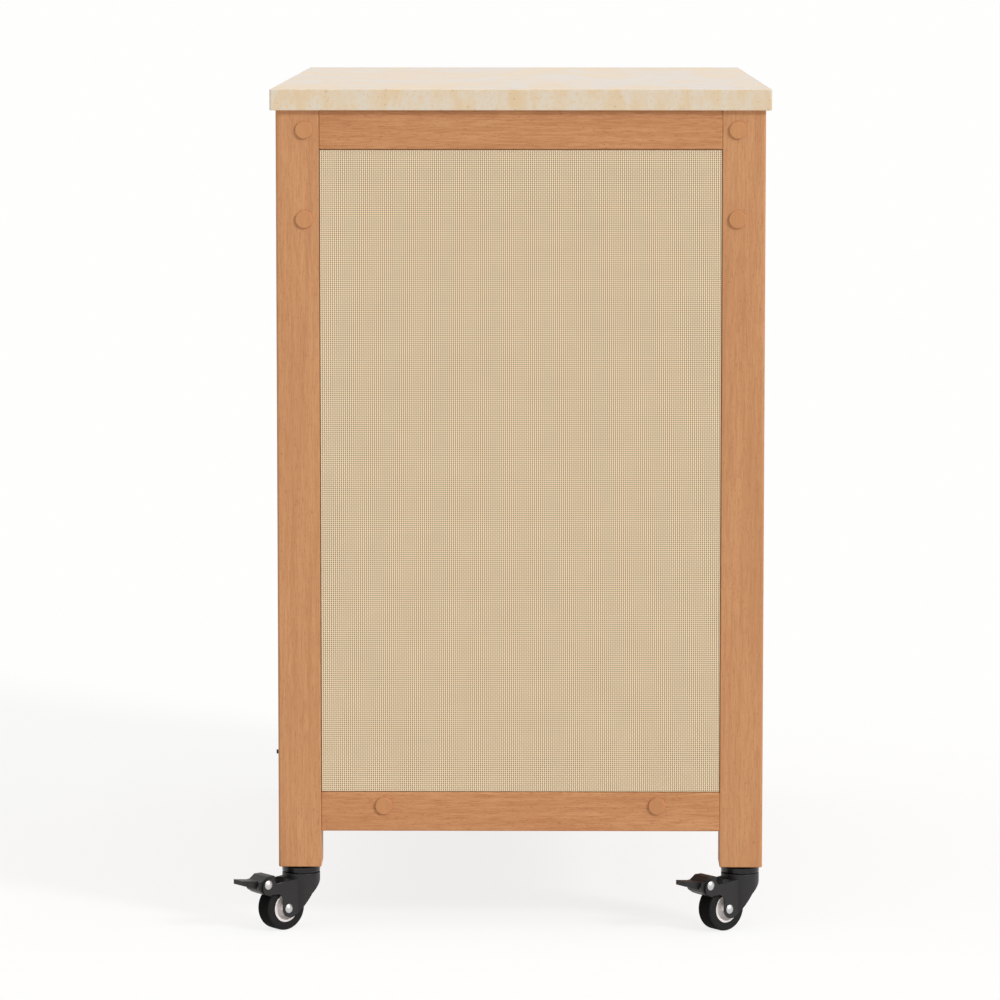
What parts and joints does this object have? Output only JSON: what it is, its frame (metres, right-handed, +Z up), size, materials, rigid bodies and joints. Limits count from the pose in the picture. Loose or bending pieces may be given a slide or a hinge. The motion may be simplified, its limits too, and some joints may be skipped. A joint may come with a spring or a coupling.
{
  "type": "bar cart",
  "caption": "Wheeled bar cart with a stone top, wooden posts and rails, woven end panels, slatted shelves open at both long sides, and braked swivel casters.",
  "frame": {"origin": "on the floor under the middle of the whole footprint, brake pedals included; the middle of the top is at x 0.0207, y 0.0146", "axes": "+X across the near end from left to right, +Y along the cart to its far end, +Z up"},
  "size_m": [0.5744, 0.9432, 0.906],
  "materials": {
    "stone": "honed travertine",
    "post_wood": "stained hardwood, satin",
    "rail_wood": "stained hardwood, satin",
    "slat_wood": "stained hardwood, satin",
    "cap_wood": "turned hardwood, satin",
    "dowel_wood": "raw beech",
    "panel_board": "plain thin plywood",
    "woven_panel": "tight plain weave",
    "bracket": "black powder coat",
    "zinc_steel": "zinc plated",
    "insert_brass": "turned brass",
    "caster_race": "black gloss",
    "caster_fork": "charcoal satin",
    "brake_lever": "charcoal satin",
    "tyre": "smooth black rubber",
    "hub": "off-white moulded",
    "rivet": "zinc plated",
    "ball_steel": "polished steel"
  },
  "bodies": {
    "cart_frame": {"apron_left": "rail_wood", "apron_right": "rail_wood", "barrel_nuts": "zinc_steel", "bolt_caps": "cap_wood", "bottom_rail_far": "rail_wood", "bottom_rail_near": "rail_wood", "bottom_shelf_slats": "slat_wood", "bracket_screws": "zinc_steel", "caster_far_left_stem": "caster_race", "caster_far_right_stem": "caster_race", "caster_near_left_stem": "caster_race", "caster_near_right_stem": "caster_race", "frame_bolts": "zinc_steel", "leg_inserts": "insert_brass", "middle_shelf_slats": "slat_wood", "panel_board_far": "panel_board", "panel_board_near": "panel_board", "post_far_left": "post_wood", "post_far_right": "post_wood", "post_near_left": "post_wood", "post_near_right": "post_wood", "rail_dowels": "dowel_wood", "shelf_batten_left": "rail_wood", "shelf_batten_right": "rail_wood", "shelf_bearer_left": "rail_wood", "shelf_bearer_right": "rail_wood", "shelf_pins": "zinc_steel", "shelf_screws": "zinc_steel", "stone_top": "stone", "swivel_balls": "ball_steel", "top_brackets": "bracket", "top_inserts": "insert_brass", "top_rail_far": "rail_wood", "top_rail_near": "rail_wood", "woven_panel_far": "woven_panel", "woven_panel_near": "woven_panel"},
    "near_left_swivel": {"caster_near_left_fork": "caster_fork", "caster_near_left_axle": "rivet", "caster_near_left_brake_pin": "rivet"},
    "near_left_wheel": {"caster_near_left_tyre": "tyre", "caster_near_left_hub": "hub"},
    "near_left_brake": {"caster_near_left_brake_lever": "brake_lever"},
    "near_right_swivel": {"caster_near_right_fork": "caster_fork", "caster_near_right_axle": "rivet", "caster_near_right_brake_pin": "rivet"},
    "near_right_wheel": {"caster_near_right_tyre": "tyre", "caster_near_right_hub": "hub"},
    "near_right_brake": {"caster_near_right_brake_lever": "brake_lever"},
    "far_left_swivel": {"caster_far_left_fork": "caster_fork", "caster_far_left_axle": "rivet", "caster_far_left_brake_pin": "rivet"},
    "far_left_wheel": {"caster_far_left_tyre": "tyre", "caster_far_left_hub": "hub"},
    "far_left_brake": {"caster_far_left_brake_lever": "brake_lever"},
    "far_right_swivel": {"caster_far_right_fork": "caster_fork", "caster_far_right_axle": "rivet", "caster_far_right_brake_pin": "rivet"},
    "far_right_wheel": {"caster_far_right_tyre": "tyre", "caster_far_right_hub": "hub"},
    "far_right_brake": {"caster_far_right_brake_lever": "brake_lever"}
  },
  "joints": [
    {"name": "near_left_caster_swivel", "type": "hinge", "parent": "cart_frame", "child": "near_left_swivel", "pos_m": [-0.21684, -0.41338, 0.0608], "axis": [0, 0, 1], "continuous": true},
    {"name": "near_left_wheel_spin", "type": "hinge", "parent": "near_left_swivel", "child": "near_left_wheel", "pos_m": [-0.23781, -0.43006, 0.0245], "axis": [0.6225, -0.7826, 0], "continuous": true},
    {"name": "near_left_brake_pedal", "type": "hinge", "parent": "near_left_swivel", "child": "near_left_brake", "pos_m": [-0.25878, -0.44675, 0.0532], "axis": [0.6225, -0.7826, 0], "range_deg": [0, 18]},
    {"name": "near_right_caster_swivel", "type": "hinge", "parent": "cart_frame", "child": "near_right_swivel", "pos_m": [0.25816, -0.41338, 0.0608], "axis": [0, 0, 1], "continuous": true},
    {"name": "near_right_wheel_spin", "type": "hinge", "parent": "near_right_swivel", "child": "near_right_wheel", "pos_m": [0.23719, -0.43006, 0.0245], "axis": [0.6225, -0.7826, 0], "continuous": true},
    {"name": "near_right_brake_pedal", "type": "hinge", "parent": "near_right_swivel", "child": "near_right_brake", "pos_m": [0.21622, -0.44675, 0.0532], "axis": [0.6225, -0.7826, 0], "range_deg": [0, 18]},
    {"name": "far_left_caster_swivel", "type": "hinge", "parent": "cart_frame", "child": "far_left_swivel", "pos_m": [-0.21684, 0.44262, 0.0608], "axis": [0, 0, 1], "continuous": true},
    {"name": "far_left_wheel_spin", "type": "hinge", "parent": "far_left_swivel", "child": "far_left_wheel", "pos_m": [-0.23781, 0.42594, 0.0245], "axis": [0.6225, -0.7826, 0], "continuous": true},
    {"name": "far_left_brake_pedal", "type": "hinge", "parent": "far_left_swivel", "child": "far_left_brake", "pos_m": [-0.25878, 0.40925, 0.0532], "axis": [0.6225, -0.7826, 0], "range_deg": [0, 18]},
    {"name": "far_right_caster_swivel", "type": "hinge", "parent": "cart_frame", "child": "far_right_swivel", "pos_m": [0.25816, 0.44262, 0.0608], "axis": [0, 0, 1], "continuous": true},
    {"name": "far_right_wheel_spin", "type": "hinge", "parent": "far_right_swivel", "child": "far_right_wheel", "pos_m": [0.23719, 0.42594, 0.0245], "axis": [0.6225, -0.7826, 0], "continuous": true},
    {"name": "far_right_brake_pedal", "type": "hinge", "parent": "far_right_swivel", "child": "far_right_brake", "pos_m": [0.21622, 0.40925, 0.0532], "axis": [0.6225, -0.7826, 0], "range_deg": [0, 18]}
  ]
}
